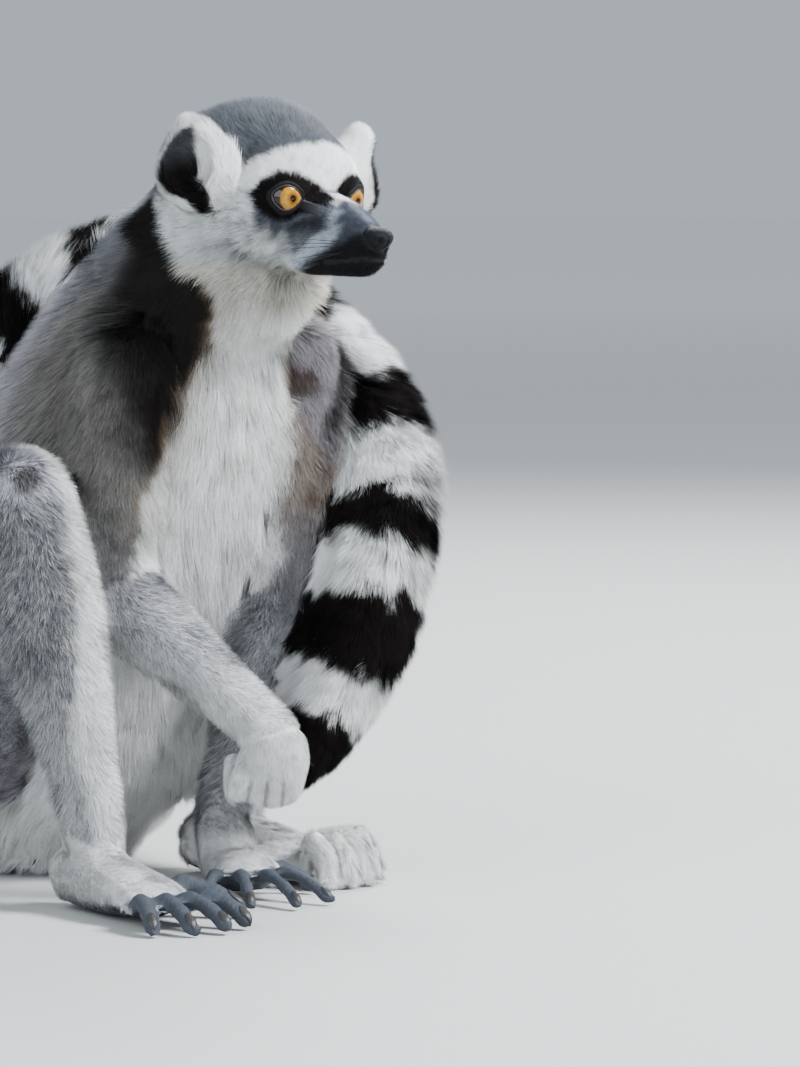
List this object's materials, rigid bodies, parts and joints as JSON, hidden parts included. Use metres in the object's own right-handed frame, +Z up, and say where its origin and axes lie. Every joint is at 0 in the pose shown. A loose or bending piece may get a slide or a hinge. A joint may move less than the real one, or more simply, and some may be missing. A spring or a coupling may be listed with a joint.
{
  "type": "ring-tailed lemur",
  "caption": "Life-size ring-tailed lemur model sitting upright, legs folded, a hand hanging over the lap and the ringed tail laid forward over the left shoulder.",
  "frame": {"origin": "on the floor, under the middle of the whole animal's bounding box", "axes": "+Z up, the lemur faces -Y, its left side is at +X"},
  "size_m": [0.209, 0.2725, 0.2875],
  "materials": {
    "grey_coat": "dense matt hair",
    "pale_coat": "dense matt hair",
    "ringed_coat": "long loose hair in black and white rings",
    "nose": "bare moist skin",
    "eye": "wet gloss"
  },
  "bodies": {
    "root": {"ear_left": "pale_coat", "ear_right": "pale_coat", "eye_left": "eye", "eye_right": "eye", "foot_left": "pale_coat", "foot_right": "pale_coat", "forearm_left": "grey_coat", "forearm_right": "grey_coat", "hand_left": "grey_coat", "hand_right": "grey_coat", "head": "grey_coat", "neck": "grey_coat", "nose": "nose", "shin_left": "pale_coat", "shin_right": "pale_coat", "tail_1": "ringed_coat", "tail_2": "ringed_coat", "tail_3": "ringed_coat", "tail_4": "ringed_coat", "tail_5": "ringed_coat", "thigh_left": "pale_coat", "thigh_right": "pale_coat", "trunk": "grey_coat", "upper_arm_left": "grey_coat", "upper_arm_right": "grey_coat"}
  },
  "joints": []
}
